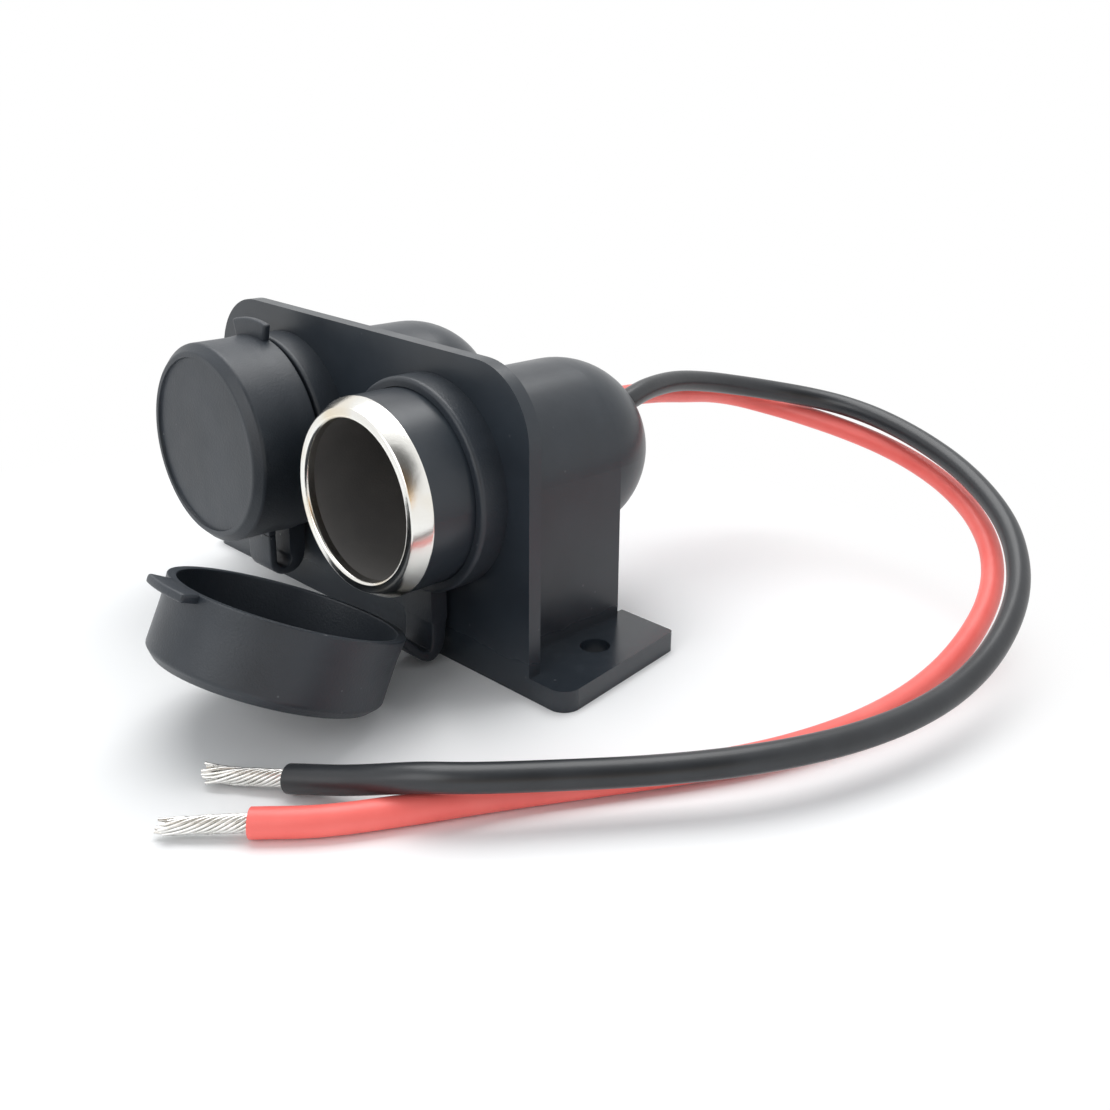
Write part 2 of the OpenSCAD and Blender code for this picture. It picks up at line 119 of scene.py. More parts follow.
def make_camera():
    """The photograph's camera, as a lens with a shifted centre."""
    a, e, r = (math.radians(v) for v in (CAM_AZIMUTH, CAM_ELEVATION, CAM_ROLL))
    back = Vector((math.sin(a) * math.cos(e), -math.cos(a) * math.cos(e), math.sin(e)))
    right = Vector((math.cos(a), math.sin(a), 0))
    up = back.cross(right)
    right_rolled = right * math.cos(r) + up * math.sin(r)
    up_rolled = up * math.cos(r) - right * math.sin(r)
    data = bpy.data.cameras.new("camera")
    data.sensor_width = 36
    data.lens = FOCAL_PX / IMAGE_SIZE * data.sensor_width
    data.shift_x = (IMAGE_SIZE / 2 - CENTRE_PX[0]) / IMAGE_SIZE
    data.shift_y = (CENTRE_PX[1] - IMAGE_SIZE / 2) / IMAGE_SIZE
    data.clip_start = 0.01
    camera = bpy.data.objects.new("camera", data)
    bpy.context.scene.collection.objects.link(camera)
    place = (Vector(CAM_TARGET) + back * CAM_DISTANCE) * MM
    turn = Matrix((right_rolled, up_rolled, back)).transposed()
    camera.matrix_world = Matrix.Translation(place) @ turn.to_4x4()
    bpy.context.scene.camera = camera


# Materials

def new_material(name):
    m = bpy.data.materials.new(name)
    m.use_nodes = True
    tree = m.node_tree
    shader = tree.nodes["Principled BSDF"]
    return m, tree, shader


def add_noise(tree, scale, detail=3.0, rough=0.5):
    coord = tree.nodes.new("ShaderNodeTexCoord")
    noise = tree.nodes.new("ShaderNodeTexNoise")
    noise.inputs["Scale"].default_value = scale
    noise.inputs["Detail"].default_value = detail
    noise.inputs["Roughness"].default_value = rough
    tree.links.new(coord.outputs["Object"], noise.inputs["Vector"])
    return noise


def ramp(tree, source, low, high, a=0.35, b=0.65):
    """A colour ramp from low to high as the source goes from a to b."""
    r = tree.nodes.new("ShaderNodeValToRGB")
    r.color_ramp.elements[0].position = a
    r.color_ramp.elements[0].color = (*low, 1)
    r.color_ramp.elements[1].position = b
    r.color_ramp.elements[1].color = (*high, 1)
    tree.links.new(source, r.inputs["Fac"])
    return r


def add_bump(tree, shader, source, distance, strength):
    bump = tree.nodes.new("ShaderNodeBump")
    bump.inputs["Distance"].default_value = distance
    bump.inputs["Strength"].default_value = strength
    tree.links.new(source, bump.inputs["Height"])
    tree.links.new(bump.outputs["Normal"], shader.inputs["Normal"])


# How dense the lighter film on upward faces is, the colour of the dust specks and of that film, and the
# roughness of a moulding's smooth faces
UPWARD_FILM = 0.03
SPECK_AND_FILM_COLOUR = (0.3, 0.31, 0.32, 1)
SMOOTH_GLOSS = 0.17


def calc(tree, operation, first, second, clamp=False):
    """A math node's result; each of its two inputs is a number or another node's output."""
    node = tree.nodes.new("ShaderNodeMath")
    node.operation = operation
    node.use_clamp = clamp
    for socket, value in zip(node.inputs, (first, second)):
        if isinstance(value, float):
            socket.default_value = value
        else:
            tree.links.new(value, socket)
    return node.outputs[0]


def rescale(tree, value, to_min, to_max, from_min=0.0, from_max=1.0, smooth=False):
    """A value that runs from to_min to to_max as the given one runs from from_min to from_max."""
    node = tree.nodes.new("ShaderNodeMapRange")
    if smooth:
        node.interpolation_type = "SMOOTHSTEP"
    node.inputs["From Min"].default_value = from_min
    node.inputs["From Max"].default_value = from_max
    node.inputs["To Min"].default_value = to_min
    node.inputs["To Max"].default_value = to_max
    tree.links.new(value, node.inputs["Value"])
    return node.outputs["Result"]


def split_z(tree, vector):
    """The Z part of a vector."""
    parts = tree.nodes.new("ShaderNodeSeparateXYZ")
    tree.links.new(vector, parts.inputs[0])
    return parts.outputs["Z"]


def dusty(tree, colour, dust):
    """A colour with a few dust specks, and a thin patchy lighter grey film on the faces that look upwards."""
    coord = tree.nodes.new("ShaderNodeTexCoord")
    cells = tree.nodes.new("ShaderNodeTexVoronoi")
    cells.inputs["Scale"].default_value = 420.0
    cells.inputs["Randomness"].default_value = 1.0
    tree.links.new(coord.outputs["Object"], cells.inputs["Vector"])
    speck = ramp(tree, cells.outputs["Distance"], (1, 1, 1), (0, 0, 0), 0.05, 0.09)
    chosen = add_noise(tree, 170.0, 1.0)
    few = ramp(tree, chosen.outputs["Fac"], (0, 0, 0), (dust, dust, dust), 0.54, 0.58)
    specks = calc(tree, "MULTIPLY", speck.outputs["Color"], few.outputs["Color"])
    faces = tree.nodes.new("ShaderNodeNewGeometry")
    blotches = add_noise(tree, 300.0, 6.0, 0.6)
    film = ramp(tree, blotches.outputs["Fac"], (0, 0, 0), (UPWARD_FILM, UPWARD_FILM, UPWARD_FILM), 0.42, 0.7)
    upward = split_z(tree, faces.outputs["Normal"])
    top_film = calc(tree, "MULTIPLY", upward, film.outputs["Color"], clamp=True)
    mix = tree.nodes.new("ShaderNodeMix")
    mix.data_type = "RGBA"
    amount, first, second = mix.inputs[0], mix.inputs[6], mix.inputs[7]
    tree.links.new(calc(tree, "ADD", specks, top_film), amount)
    tree.links.new(colour, first)
    second.default_value = SPECK_AND_FILM_COLOUR
    return mix.outputs[2]


def moulded_plastic(name, dark, light, gloss, grain=9000.0, grain_depth=0.00004, dust=0.0,
                    smooth_below=None):
    """Matte moulding with a fine spark-eroded grain, slow colour drift, patchy gloss, and where dust is given,
    dust specks and a lighter film on faces that look upwards.

    Faces below the height smooth_below are as smooth as SMOOTH_GLOSS.
    """
    m, tree, shader = new_material(name)
    drift = add_noise(tree, 90.0)
    colour = ramp(tree, drift.outputs["Fac"], dark, light)
    surface = colour.outputs["Color"]
    if dust > 0:
        surface = dusty(tree, surface, dust)
    tree.links.new(surface, shader.inputs["Base Color"])
    patches = add_noise(tree, 260.0, 4.0)
    finish = rescale(tree, patches.outputs["Fac"], gloss - 0.06, gloss + 0.08)
    if smooth_below is not None:
        coord = tree.nodes.new("ShaderNodeTexCoord")
        height = split_z(tree, coord.outputs["Object"])
        change = rescale(tree, height, SMOOTH_GLOSS - gloss, 0.0, smooth_below, smooth_below + 2 * MM)
        finish = calc(tree, "ADD", finish, change)
    tree.links.new(finish, shader.inputs["Roughness"])
    fine = add_noise(tree, grain, 2.0)
    add_bump(tree, shader, fine.outputs["Fac"], grain_depth, 0.5)
    return m


def bright_metal(name, low, high, roughness):
    """Plain metal with a faint streaky wear along Z."""
    m, tree, shader = new_material(name)
    shader.inputs["Metallic"].default_value = 1.0
    coord = tree.nodes.new("ShaderNodeTexCoord")
    mapping = tree.nodes.new("ShaderNodeMapping")
    mapping.inputs["Scale"].default_value = (400, 400, 60)
    tree.links.new(coord.outputs["Object"], mapping.inputs["Vector"])
    noise = tree.nodes.new("ShaderNodeTexNoise")
    noise.inputs["Scale"].default_value = 3.0
    noise.inputs["Detail"].default_value = 4.0
    tree.links.new(mapping.outputs["Vector"], noise.inputs["Vector"])
    colour = ramp(tree, noise.outputs["Fac"], low, high)
    tree.links.new(colour.outputs["Color"], shader.inputs["Base Color"])
    finish = rescale(tree, noise.outputs["Fac"], roughness * 0.7, roughness * 1.4)
    tree.links.new(finish, shader.inputs["Roughness"])
    return m


def plating(name, plain, warm, roughness):
    """Bright plate with slow ripples, a little warm tarnish and a patchy polish."""
    m, tree, shader = new_material(name)
    shader.inputs["Metallic"].default_value = 1.0
    tarnish = add_noise(tree, 75.0, 2.0)
    colour = ramp(tree, tarnish.outputs["Fac"], plain, warm, 0.5, 0.68)
    tree.links.new(colour.outputs["Color"], shader.inputs["Base Color"])
    polish = add_noise(tree, 300.0, 3.0)
    finish = rescale(tree, polish.outputs["Fac"], roughness * 0.7, roughness * 1.3)
    tree.links.new(finish, shader.inputs["Roughness"])
    ripples = add_noise(tree, 420.0, 3.0)
    add_bump(tree, shader, ripples.outputs["Fac"], 0.00008, 0.5)
    return m


def insulation(name, dark, light, gloss):
    """Satin lead insulation with slow colour drift and fine waves."""
    m, tree, shader = new_material(name)
    drift = add_noise(tree, 140.0)
    colour = ramp(tree, drift.outputs["Fac"], dark, light)
    tree.links.new(colour.outputs["Color"], shader.inputs["Base Color"])
    shader.inputs["Roughness"].default_value = gloss
    waves = add_noise(tree, 900.0, 2.0)
    add_bump(tree, shader, waves.outputs["Fac"], 0.00006, 0.35)
    return m


PLASTIC = moulded_plastic("black_moulding", (0.017, 0.0225, 0.03), (0.023, 0.03, 0.039), 0.31,
                          grain=8000.0, grain_depth=0.00002, dust=0.15, smooth_below=(FOOT_T + 0.3) * MM)
SOFT = moulded_plastic("soft_black", (0.019, 0.0245, 0.032), (0.026, 0.0325, 0.042), 0.42,
                       grain=3500.0, grain_depth=0.00007, dust=0.4)
NICKEL = plating("nickel_plate", (0.86, 0.85, 0.81), (0.8, 0.7, 0.52), 0.2)
TINNED = bright_metal("tinned_steel", (0.6, 0.59, 0.57), (0.72, 0.71, 0.69), 0.3)
BRASS = bright_metal("brass", (0.62, 0.46, 0.2), (0.74, 0.58, 0.3), 0.3)
STRANDS = bright_metal("tinned_strands", (0.66, 0.65, 0.62), (0.82, 0.81, 0.79), 0.28)
# Dull grey-brown laid on the sleeves' bores in place of the plate: painted shade for the shaded inside of each
# socket
PAINTED_SHADE_BORE = moulded_plastic("bore_painted_shade", (0.125, 0.12, 0.116), (0.16, 0.152, 0.145), 0.5,
                            grain=4000.0, grain_depth=0.00003)
BOARD = moulded_plastic("insulating_board", (0.2, 0.11, 0.05), (0.28, 0.16, 0.08), 0.6)
BLACK_SKIN = insulation("black_insulation", (0.019, 0.021, 0.024), (0.026, 0.0285, 0.0325), 0.33)
RED_SKIN = insulation("red_insulation", (0.92, 0.145, 0.125), (0.97, 0.18, 0.155), 0.4)


def paint(obj, *materials):
    obj.data.materials.clear()
    for m in materials:
        obj.data.materials.append(m)


# Mesh helpers

def make_object(name, mesh, material=None, smooth=True):
    obj = bpy.data.objects.new(name, mesh)
    bpy.context.scene.collection.objects.link(obj)
    if material is not None:
        obj.data.materials.append(material)
    if smooth:
        for face in mesh.polygons:
            face.use_smooth = True
    return obj


def smooth_by_angle(obj, degrees=35):
    """Smooth shading with sharp edges kept where faces meet at more than this angle."""
    mesh = obj.data
    bm = bmesh.new()
    bm.from_mesh(mesh)
    limit = math.radians(degrees)
    for edge in bm.edges:
        edge.smooth = len(edge.link_faces) == 2 and edge.calc_face_angle(0) < limit
    for face in bm.faces:
        face.smooth = True
    bm.to_mesh(mesh)
    bm.free()


def arc(cy, cz, r, a0, a1, n=8):
    """Points round (cy, cz) from angle a0 to a1 in degrees."""
    return [(cy + r * math.cos(math.radians(a0 + (a1 - a0) * i / n)),
             cz + r * math.sin(math.radians(a0 + (a1 - a0) * i / n))) for i in range(n + 1)]


def rounded(corners):
    """A profile from (radius, distance ahead, corner radius) points; each round has two support points."""
    support = 1.3
    profile = []
    for i, (r, s, size) in enumerate(corners):
        if size == 0:
            profile.append((r, s))
            continue
        here = Vector((r, s))
        before = (Vector(corners[i - 1][:2]) - here).normalized() * size
        after = (Vector(corners[i + 1][:2]) - here).normalized() * size
        middle = here + (before + after) / 4
        profile += [tuple(here + v) for v in (before * support, before)]
        profile += [tuple(middle)] + [tuple(here + v) for v in (after, after * support)]
    return profile


def finished_mesh(bm, name):
    mesh = bpy.data.meshes.new(name)
    bm.to_mesh(mesh)
    bm.free()
    return mesh


def closed_mesh(bm, name):
    """The finished mesh, with every face turned outwards."""
    bmesh.ops.recalc_face_normals(bm, faces=bm.faces)
    return finished_mesh(bm, name)


def turned_vert(bm, r, a, s):
    """A vertex at radius r and angle a round a socket axis, s ahead of the plate."""
    return bm.verts.new((r * math.cos(a) * MM, -s * MM, r * math.sin(a) * MM))


def lathe(name, profile, closed=True):
    """Turns (radius, distance ahead of the plate) points round a socket axis; millimetres in, metres out."""
    segments = 192
    bm = bmesh.new()
    rings = []
    for r, s in profile:
        turns = [2 * math.pi * k / segments for k in range(segments if r > 0 else 1)]
        rings.append([turned_vert(bm, r, a, s) for a in turns])
    pairs = list(zip(rings, rings[1:]))
    if closed:
        pairs.append((rings[-1], rings[0]))
    for a, b in pairs:
        for k in range(segments):
            j = (k + 1) % segments
            if len(a) == 1:
                bm.faces.new((a[0], b[k], b[j]))
            elif len(b) == 1:
                bm.faces.new((a[k], b[0], a[j]))
            else:
                bm.faces.new((a[k], b[k], b[j], a[j]))
    return closed_mesh(bm, name)


def at_socket(side):
    return Matrix.Translation(Vector((side * SIDE_X, PLATE_Y, AXIS_H)) * MM)


# The plated sleeves

def sleeve(side, label):
    r_in = BORE_D / 2
    r_out = r_in + SLEEVE_WALL
    tip = BARREL_LEN + LIP_LEN
    curl = 0.55
    tip_r = r_in + 1.0
    profile = [(r_in + SLEEVE_WALL / 2, -SLEEVE_BACK), (r_out, -SLEEVE_BACK), (r_out, BARREL_LEN)]
    profile += [(HOOD_R, BARREL_LEN), (HOOD_R, BARREL_LEN + 0.25)]
    profile += arc(tip_r, tip - curl, curl, 28, 90, 10)
    profile += arc(r_in + curl, tip - curl, curl, 90, 180, 10)
    profile += [(r_in, tip - 1.4), (r_in, 2.0 - SLEEVE_BACK), (r_in + SLEEVE_WALL / 2, 2.0 - SLEEVE_BACK)]
    mesh = lathe("sleeve_" + label, profile)
    mesh.transform(at_socket(side))
    obj = make_object("plated_sleeve_" + label, mesh, NICKEL)
    # Bore faces deeper than 1.3 mm inside the mouth take the second material, a dull grey-brown instead of the
    # plate: painted shade inside the socket
    obj.data.materials.append(PAINTED_SHADE_BORE)
    axis = Vector((side * SIDE_X, 0, AXIS_H)) * MM
    deep = (PLATE_Y - tip + 1.3) * MM
    for face in mesh.polygons:
        c = face.center
        radius = math.hypot(c.x - axis.x, c.z - axis.z)
        if radius < (r_in + 0.1) * MM and c.y > deep:
            face.material_index = 1
    smooth_by_angle(obj, 40)
    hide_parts("sleeve_" + label)
    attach(obj, "base")


# The caps

def cap_mesh(label):
    """A cap's skirt and front; the mouth is a little wider than the skirt, and the front is recessed."""
    bead = CAP_R + 0.25
    return lathe("cap_" + label, rounded([
        (0, CAP_INNER_FRONT, 0), (CAP_IN_R, CAP_INNER_FRONT, 0.6), (CAP_IN_R, CAP_MOUTH, 0.15),
        (bead, CAP_MOUTH, 0.15), (CAP_R, CAP_MOUTH + 3.0, 0.8),
        (CAP_R, CAP_FRONT - CAP_BEVEL, 0.25), (CAP_R - CAP_BEVEL, CAP_FRONT, 0.2),
        (RECESS_R, CAP_FRONT, 0.06), (RECESS_R - 0.1, CAP_FRONT - RECESS_DEPTH, 0.05),
        (0, CAP_FRONT - RECESS_DEPTH, 0)]), closed=False)


def finger_tab_mesh():
    """A curved lug that stands out from the cap's rim, with rounded edges."""
    half = FINGER_W / CAP_R / 2
    inner = CAP_R - 0.4
    outer = CAP_R + FINGER_REACH
    front = CAP_MOUTH + FINGER_T
    bm = bmesh.new()
    steps = 14
    sections = []
    for i in range(steps + 1):
        a = math.radians(90 + FINGER_TURN) - half + 2 * half * i / steps
        corners = ((inner, CAP_MOUTH), (outer, CAP_MOUTH), (outer, front), (inner, front))
        sections.append([turned_vert(bm, r, a, s) for r, s in corners])
    for a, b in zip(sections, sections[1:]):
        for k in range(4):
            bm.faces.new((a[k], a[(k + 1) % 4], b[(k + 1) % 4], b[k]))
    bm.faces.new(sections[0])
    bm.faces.new(reversed(sections[-1]))
    bmesh.ops.recalc_face_normals(bm, faces=bm.faces)
    sharp = [e for e in bm.edges if e.calc_face_angle(0) > math.radians(50)]
    bmesh.ops.bevel(bm, geom=sharp, offset=0.35 * MM, segments=3, profile=0.5, affect="EDGES")
    return finished_mesh(bm, "finger_tab")


def pad_mesh():
    """The small foot under the cap's rim that the strap joins."""
    bm = bmesh.new()
    bmesh.ops.create_cube(bm, size=1)
    front_leg = -(CAP_MOUTH + 0.8 + STRAP_T / 2)
    for v in bm.verts:
        v.co = Vector((v.co.x * STRAP_W, front_leg + v.co.y * STRAP_T, -CAP_R - 0.15 + v.co.z * 1.3)) * MM
    bmesh.ops.bevel(bm, geom=bm.edges[:], offset=0.2 * MM, segments=2, profile=0.5, affect="EDGES")
    return finished_mesh(bm, "pad")


def join_meshes(name, meshes):
    bm = bmesh.new()
    for m in meshes:
        bm.from_mesh(m)
    return finished_mesh(bm, name)


def cap_place(side, opened):
    """Where a cap drawn round its own axis goes: shut on its socket, or swung open round the hinge line."""
    shut = at_socket(side)
    if not opened:
        return shut
    pivot = Vector((0, PLATE_Y + HINGE_Y, HINGE_Z)) * MM
    turn = Matrix.Rotation(math.radians(OPEN_ANGLE), 4, "X")
    return Matrix.Translation(pivot) @ turn @ Matrix.Translation(-pivot) @ shut


def cap(side, label, opened):
    mesh = join_meshes("cap_" + label, [cap_mesh(label), finger_tab_mesh(), pad_mesh()])
    mesh.transform(cap_place(side, opened))
    obj = make_object("moulded_cap_" + label, mesh, SOFT)
    smooth_by_angle(obj, 38)
    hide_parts("cap_" + label)
    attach(obj, label + "_cap")


# The leads

def smooth_route(route, steps=6):
    """Points of a curve that passes through every point of a route, in millimetres."""
    places = [Vector(p) for p in route]
    line = [2 * places[0] - places[1]] + places + [2 * places[-1] - places[-2]]
    points = []
    for a, b, c, d in zip(line, line[1:], line[2:], line[3:]):
        for k in range(steps):
            t = k / steps
            points.append((2 * b + (c - a) * t + (2 * a - 5 * b + 4 * c - d) * t ** 2
                           + (3 * b - a - 3 * c + d) * t ** 3) / 2)
    return points + [places[-1]]


def frames_along(points):
    """A place, two side directions and the heading for each point of a line, without twist along it."""
    side = Vector((0, 0, 1))
    last = len(points) - 1
    found = []
    for i, p in enumerate(points):
        ahead = (points[min(i + 1, last)] - points[max(i - 1, 0)]).normalized()
        side = (side - side.dot(ahead) * ahead).normalized()
        found.append((p, side, ahead.cross(side), ahead))
    return found


def ring(bm, place, radius, sides, shift=0.0):
    p, side, up, ahead = place
    turns = [2 * math.pi * k / sides for k in range(sides)]
    spokes = [(side * math.cos(a) + up * math.sin(a)) * radius for a in turns]
    return [bm.verts.new((p + ahead * shift + spoke) * MM) for spoke in spokes]


def skin(bm, rings):
    """Faces between rings of equal size, with both ends closed."""
    for a, b in zip(rings, rings[1:]):
        for k in range(len(a)):
            j = (k + 1) % len(a)
            bm.faces.new((a[k], a[j], b[j], b[k]))
    bm.faces.new(rings[0])
    bm.faces.new(reversed(rings[-1]))


def lead(name, route, material, node):
    """A round lead, cut square at the far end round the bore that the strands leave by."""
    radius = LEAD_D / 2
    edge = 0.1
    bore = 1.12
    bore_depth = 1.2
    sides = 24
    places = frames_along(smooth_route(route))
    end = places[-1]
    bm = bmesh.new()
    rings = [ring(bm, place, radius, sides) for place in places[:-1]]
    rings += [ring(bm, end, radius, sides, -edge), ring(bm, end, radius - edge, sides)]
    rings += [ring(bm, end, bore, sides), ring(bm, end, bore, sides, -bore_depth)]
    skin(bm, rings)
    obj = make_object(name, closed_mesh(bm, name), material)
    smooth_by_angle(obj, 40)
    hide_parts(node)
    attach(obj, "base")
    return obj


def strand_bundle(name, route, seed, node):
    """Tinned wires laid up in a twist that comes loose towards its uneven, frayed end."""
    rnd = random.Random(seed)
    wire_r = 0.2
    lay = 0.62
    steps = 30
    sides = 7
    tucked = 0.09
    start, middle, end = (Vector(p) for p in route)
    length = (end - start).length
    ahead = (end - start).normalized()
    side = ahead.cross(Vector((0, 0, 1))).normalized()
    up = side.cross(ahead)
    spots = [(0, 0)] + [(0.43, 60 * k) for k in range(6)] + [(0.86, 30 * k + 15) for k in range(12)]
    bm = bmesh.new()
    for r, angle in spots:
        cut = rnd.uniform(0.84, 1.0)
        gather = rnd.uniform(0.6, 1.1)
        stray = rnd.choice((0.05, 0.12, 0.4))
        bend = rnd.uniform(0, 2 * math.pi)
        wave = rnd.uniform(0, 2 * math.pi)
        points = []
        for i in range(steps + 1):
            t = -tucked + (cut + tucked) * i / steps
            loose = max(0, t) ** 2
            base = (1 - t) ** 2 * start + 2 * t * (1 - t) * middle + t ** 2 * end
            a = math.radians(angle) + t * length * lay * (1 - 0.25 * loose)
            reach = r * (1 + (gather - 1) * loose) + 0.06 * loose * math.sin(wave + 9 * t)
            curl = stray * loose ** 2
            points.append(base + side * (math.cos(a) * reach + math.cos(bend) * curl)
                          + up * (math.sin(a) * reach + abs(math.sin(bend)) * curl))
        skin(bm, [ring(bm, place, wire_r, sides) for place in frames_along(points)])
    obj = make_object(name, closed_mesh(bm, name), STRANDS)
    smooth_by_angle(obj, 60)
    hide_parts(node)
    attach(obj, "base")
    return obj


# The straps

def strap_path(opened):
    """Centre line of a strap from collar tab to cap pad, as Y ahead of the plate and Z, in millimetres."""
    tab_mid = -(TAB_BACK + TAB_T / 2)
    leg = -(CAP_MOUTH + 0.8 + STRAP_T / 2)
    pad_foot = AXIS_H - CAP_R - 0.8
    if not opened:
        r = (tab_mid - leg) / 2
        bend = arc(tab_mid - r, TAB_FOOT - 0.3, r, 0, -180, 32)
        return [(tab_mid, TAB_FOOT)] + bend + [(leg, pad_foot - 1.0), (leg, pad_foot)]
    a = math.radians(OPEN_ANGLE)
    py, pz = leg - HINGE_Y, pad_foot - HINGE_Z
    pad = Vector((HINGE_Y + py * math.cos(a) - pz * math.sin(a),
                  HINGE_Z + py * math.sin(a) + pz * math.cos(a)))
    turn = Vector((math.sin(a), -math.cos(a)))
    first = Vector((tab_mid, TAB_FOOT - 0.3))
    last = pad + 0.3 * turn
    controls = (first, first - Vector((0, OPEN_SAG)), last + turn, last)
    points = [(tab_mid, TAB_FOOT)]
    for i in range(33):
        t = i / 32
        weights = ((1 - t) ** 3, 3 * t * (1 - t) ** 2, 3 * t * t * (1 - t), t ** 3)
        points.append(tuple(sum((w * c for w, c in zip(weights, controls)), Vector((0, 0)))))
    return points + [tuple(pad)]


def strap(side, label, opened):
    """A strip with rounded edges along the strap's side view, thick below the tab and thin at the cap."""
    path = [Vector((0, y + PLATE_Y, z)) for y, z in strap_path(opened)]
    last = len(path) - 1
    bm = bmesh.new()
    sections = []
    for i, p in enumerate(path):
        half_w = STRAP_W / 2
        half_t = (TAB_T + (STRAP_T - TAB_T) * min(1, i / last / 0.5)) / 2
        corner = 0.3
        outline = []
        x, t = half_w - corner, half_t - corner
        for cx, ct, a0 in ((x, t, 0), (-x, t, 90), (-x, -t, 180), (x, -t, 270)):
            outline += arc(cx, ct, corner, a0, a0 + 90, 3)
        d = (path[min(i + 1, last)] - path[max(i - 1, 0)]).normalized()
        n = Vector((1, 0, 0)).cross(d)
        middle = p + Vector((side * SIDE_X, 0, 0))
        sections.append([bm.verts.new((middle + Vector((x, 0, 0)) + n * t) * MM) for x, t in outline])
    skin(bm, sections)
    obj = make_object("soft_strap_" + label, closed_mesh(bm, "strap_" + label), SOFT)
    smooth_by_angle(obj, 50)
    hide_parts("strap_" + label)
    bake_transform(obj)


# The pieces that keep their CAD shape

def soften(obj, width, segments=3, angle=40):
    bevel = obj.modifiers.new("edges", "BEVEL")
    bevel.width = width * MM
    bevel.segments = segments
    bevel.limit_method = "ANGLE"
    bevel.angle_limit = math.radians(angle)
    bevel.harden_normals = False


def dress_frame_nodes():
    paint(nodes["housing"], PLASTIC)
    soften(nodes["housing"], 0.25)
    for label in ("left", "right"):
        paint(nodes["collar_" + label], SOFT)
        soften(nodes["collar_" + label], 0.2)
        paint(nodes["insulator_" + label], BOARD)
        paint(nodes["contact_" + label], BRASS)
        paint(nodes["live_tab_" + label], TINNED)
        paint(nodes["earth_tab_" + label], TINNED)
    paint(nodes["link_black"], BLACK_SKIN)
    paint(nodes["link_red"], RED_SKIN)


# Floor, backdrop and lights, in metres

# The floor shows shadows up to FLOOR_CLEAR from FLOOR_CENTRE and is plain white past FLOOR_WHITE
FLOOR_COLOUR = (0.93, 0.93, 0.93, 1)
FLOOR_CENTRE = (0.015, -0.035, 0.0)
FLOOR_CLEAR = 0.07
FLOOR_WHITE = 0.12
WORLD_COLOUR = (0.93, 0.97, 1.0, 1)
WORLD_LIGHT = 0.54
# Where mirrors see a dim room and how bright it is; where they see a warm patch and its colour
ROOM_SIDE = (0.59, -0.53, 0.61)
ROOM_LIGHT = 0.12
WARM_SIDE = (0.70, -0.64, 0.32)
WARM = (1.0, 0.66, 0.34)
# Name, place, size and power of each lamp, and the point that they all face
LAMPS = (("top", (-0.15, 0.1, 0.6), (0.6, 0.5), 3.2),
         ("front", (0.1, -0.6, 0.35), (0.5, 0.4), 1.25))
LAMP_TARGET = (0.0, 0.0, 0.02)


def seen_only(tree):
    """1 where a surface is seen directly, in a mirror or through glass; 0 where it only lights things."""
    path = tree.nodes.new("ShaderNodeLightPath")
    seen = calc(tree, "ADD", path.outputs["Is Camera Ray"], path.outputs["Is Glossy Ray"], clamp=True)
    return calc(tree, "ADD", seen, path.outputs["Is Transmission Ray"], clamp=True)


def facing(tree, direction, side, start, full):
    """How far a direction turns towards a side: 0 up to the cosine start, rising to 1 at full."""
    unit = tree.nodes.new("ShaderNodeVectorMath")
    unit.operation = "NORMALIZE"
    tree.links.new(direction, unit.inputs[0])
    towards = tree.nodes.new("ShaderNodeVectorMath")
    towards.operation = "DOT_PRODUCT"
    towards.inputs[1].default_value = side
    tree.links.new(unit.outputs["Vector"], towards.inputs[0])
    return rescale(tree, towards.outputs["Value"], 0.0, 1.0, start, full, smooth=True)


def studio_glow(tree, direction):
    """Strength of the white surroundings: 1 where the camera sees them, dim on the room's side in mirrors."""
    dimmed = calc(tree, "MULTIPLY", facing(tree, direction, ROOM_SIDE, 0.78, 0.96), ROOM_LIGHT - 1.0)
    path = tree.nodes.new("ShaderNodeLightPath")
    return calc(tree, "MAXIMUM", path.outputs["Is Camera Ray"], calc(tree, "ADD", dimmed, 1.0))


def studio_tint(tree, direction):
    """White where the camera sees the surroundings, with a warm patch low on the room's side in mirrors."""
    path = tree.nodes.new("ShaderNodeLightPath")
    patch = facing(tree, direction, WARM_SIDE, 0.86, 0.98)
    warm = calc(tree, "SUBTRACT", patch, path.outputs["Is Camera Ray"], clamp=True)
    return ramp(tree, warm, (1, 1, 1), WARM, 0.0, 1.0).outputs["Color"]


def floor_material():
    """White ground that takes the object's shadow near it and turns plain white further away."""
    m, tree, shader = new_material("floor")
    shader.inputs["Base Color"].default_value = FLOOR_COLOUR
    shader.inputs["Roughness"].default_value = 0.8
    shader.inputs["Specular IOR Level"].default_value = 0.2
    glow = tree.nodes.new("ShaderNodeEmission")
    glow.inputs["Color"].default_value = (1, 1, 1, 1)
    coord = tree.nodes.new("ShaderNodeTexCoord")
    tree.links.new(studio_glow(tree, coord.outputs["Object"]), glow.inputs["Strength"])
    away = tree.nodes.new("ShaderNodeVectorMath")
    away.operation = "DISTANCE"
    away.inputs[1].default_value = FLOOR_CENTRE
    tree.links.new(coord.outputs["Object"], away.inputs[0])
    fade = rescale(tree, away.outputs["Value"], 0.0, 1.0, FLOOR_CLEAR, FLOOR_WHITE, smooth=True)
    mix = tree.nodes.new("ShaderNodeMixShader")
    tree.links.new(calc(tree, "MULTIPLY", fade, seen_only(tree)), mix.inputs["Fac"])
    tree.links.new(shader.outputs["BSDF"], mix.inputs[1])
    tree.links.new(glow.outputs[0], mix.inputs[2])
    tree.links.new(mix.outputs[0], tree.nodes["Material Output"].inputs["Surface"])
    return m


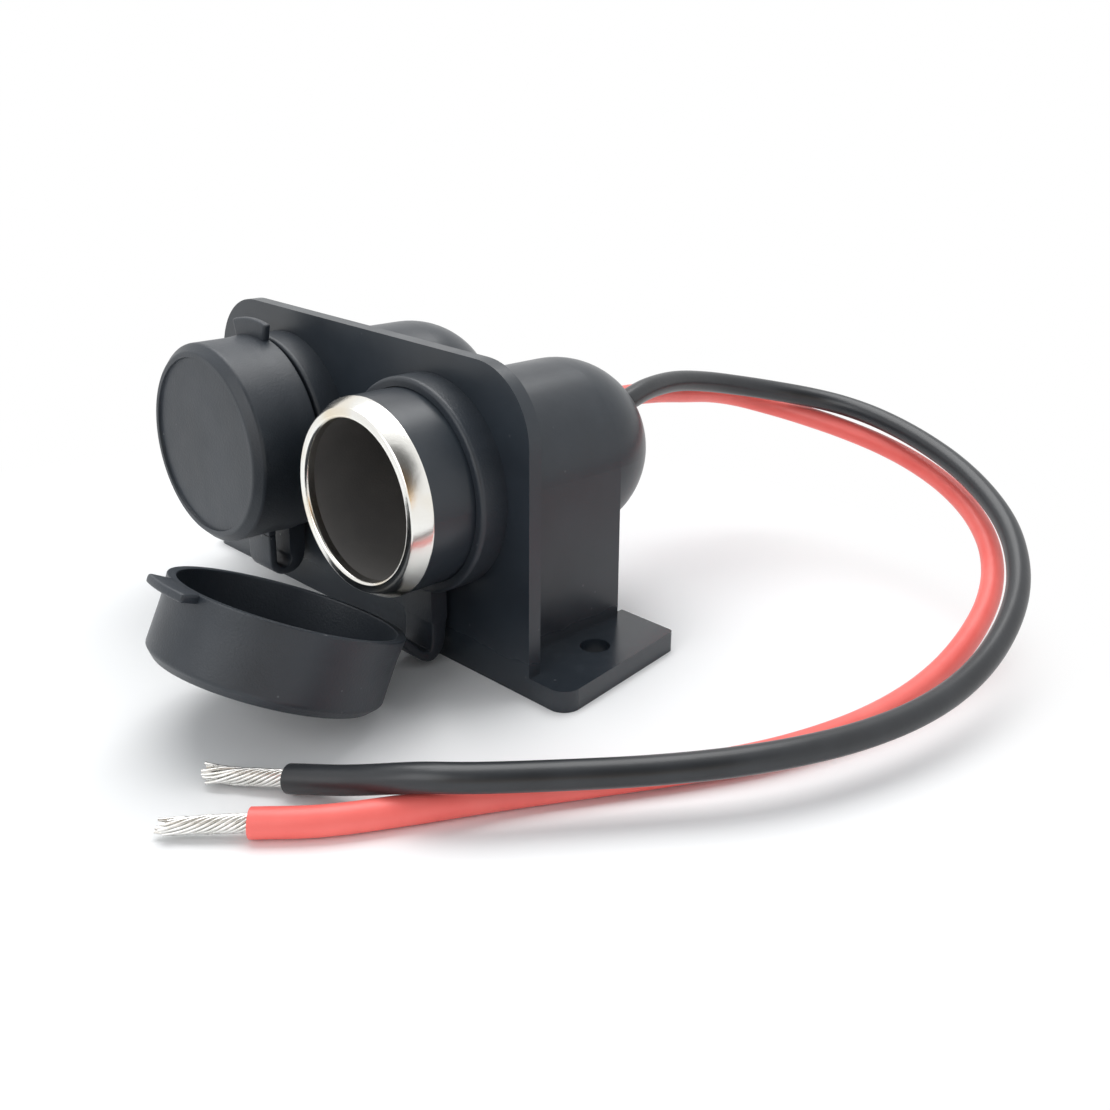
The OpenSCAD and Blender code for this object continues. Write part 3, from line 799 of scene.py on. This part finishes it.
def lay_floor():
    size = 2.0
    corners = [(-size, -size, 0), (size, -size, 0), (size, size, 0), (-size, size, 0)]
    mesh = bpy.data.meshes.new("floor")
    mesh.from_pydata(corners, [], [(0, 1, 2, 3)])
    make_object("floor", mesh, floor_material(), smooth=False)


def make_world():
    """A soft even light, and white surroundings where they are seen."""
    world = bpy.data.worlds.new("world")
    bpy.context.scene.world = world
    world.use_nodes = True
    tree = world.node_tree
    tree.nodes.clear()
    out = tree.nodes.new("ShaderNodeOutputWorld")
    mix = tree.nodes.new("ShaderNodeMixShader")
    seen = tree.nodes.new("ShaderNodeBackground")
    coord = tree.nodes.new("ShaderNodeTexCoord")
    tree.links.new(studio_glow(tree, coord.outputs["Generated"]), seen.inputs["Strength"])
    tree.links.new(studio_tint(tree, coord.outputs["Generated"]), seen.inputs["Color"])
    light = tree.nodes.new("ShaderNodeBackground")
    light.inputs["Color"].default_value = WORLD_COLOUR
    light.inputs["Strength"].default_value = WORLD_LIGHT
    tree.links.new(seen_only(tree), mix.inputs["Fac"])
    tree.links.new(light.outputs[0], mix.inputs[1])
    tree.links.new(seen.outputs[0], mix.inputs[2])
    tree.links.new(mix.outputs[0], out.inputs["Surface"])


def area_light(name, place, size, power):
    data = bpy.data.lights.new(name, "AREA")
    data.shape = "RECTANGLE"
    data.size, data.size_y = size
    data.energy = power
    lamp = bpy.data.objects.new(name, data)
    bpy.context.scene.collection.objects.link(lamp)
    lamp.location = place
    aim = Vector(LAMP_TARGET) - Vector(place)
    lamp.rotation_euler = aim.to_track_quat("-Z", "Y").to_euler()


make_camera()
lay_floor()
make_world()
for lamp_row in LAMPS:
    area_light(*lamp_row)
dress_frame_nodes()
for side, label, opened in ((-1, "left", False), (1, "right", True)):
    sleeve(side, label)
    cap(side, label, opened)
    strap(side, label, opened)
black_lead = lead("black_lead", BLACK_ROUTE, BLACK_SKIN, "lead_black")
red_lead = lead("red_lead", RED_ROUTE, RED_SKIN, "lead_red")
strand_bundle("black_bare_strands", BLACK_STRANDS, 3, "strands_black")
strand_bundle("red_bare_strands", RED_STRANDS, 5, "strands_red")

bpy.context.scene.view_settings.view_transform = "Standard"
